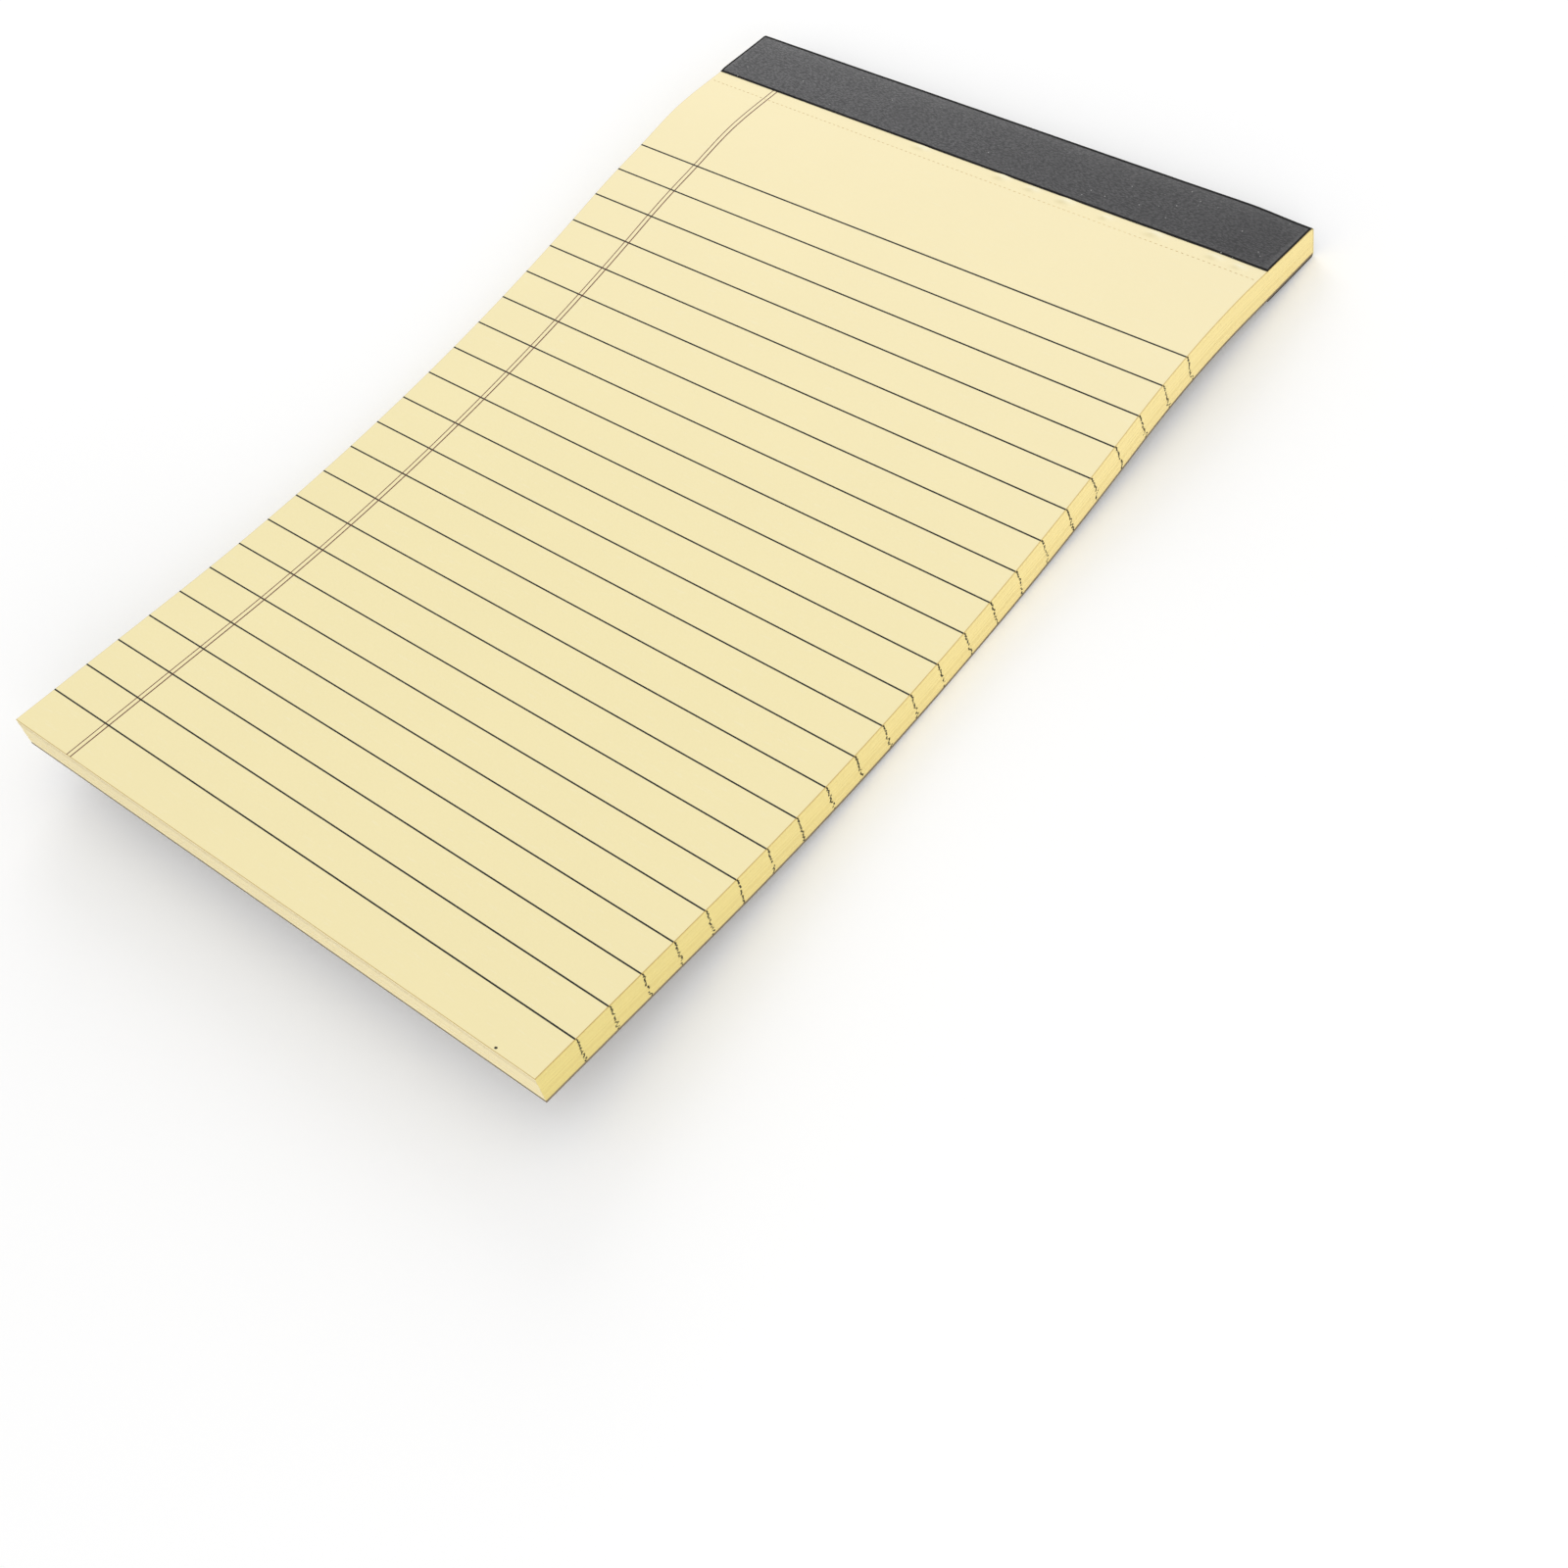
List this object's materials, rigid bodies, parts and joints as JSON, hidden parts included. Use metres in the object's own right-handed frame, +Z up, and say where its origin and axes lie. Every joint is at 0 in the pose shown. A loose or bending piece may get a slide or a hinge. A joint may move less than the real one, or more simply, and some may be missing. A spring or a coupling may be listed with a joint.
{
  "type": "memo pad",
  "caption": "Curled ruled memo pad: cream sheets perforated below a dark grained strip that is folded over the stitched head, on a thin backing board.",
  "frame": {"origin": "on the table, under the middle of the pad's box", "axes": "+X across the ruling to the right, +Y from the foot edge to the bound head, +Z up from the table"},
  "size_m": [0.127, 0.203, 0.0162],
  "materials": {
    "page_block": "matte",
    "backing_board": "matte",
    "binding_strip": "satin",
    "wire_stitches": "satin"
  },
  "bodies": {
    "root": {"page_block": "page_block", "backing_board": "backing_board", "binding_strip": "binding_strip", "wire_stitches": "wire_stitches"}
  },
  "joints": []
}
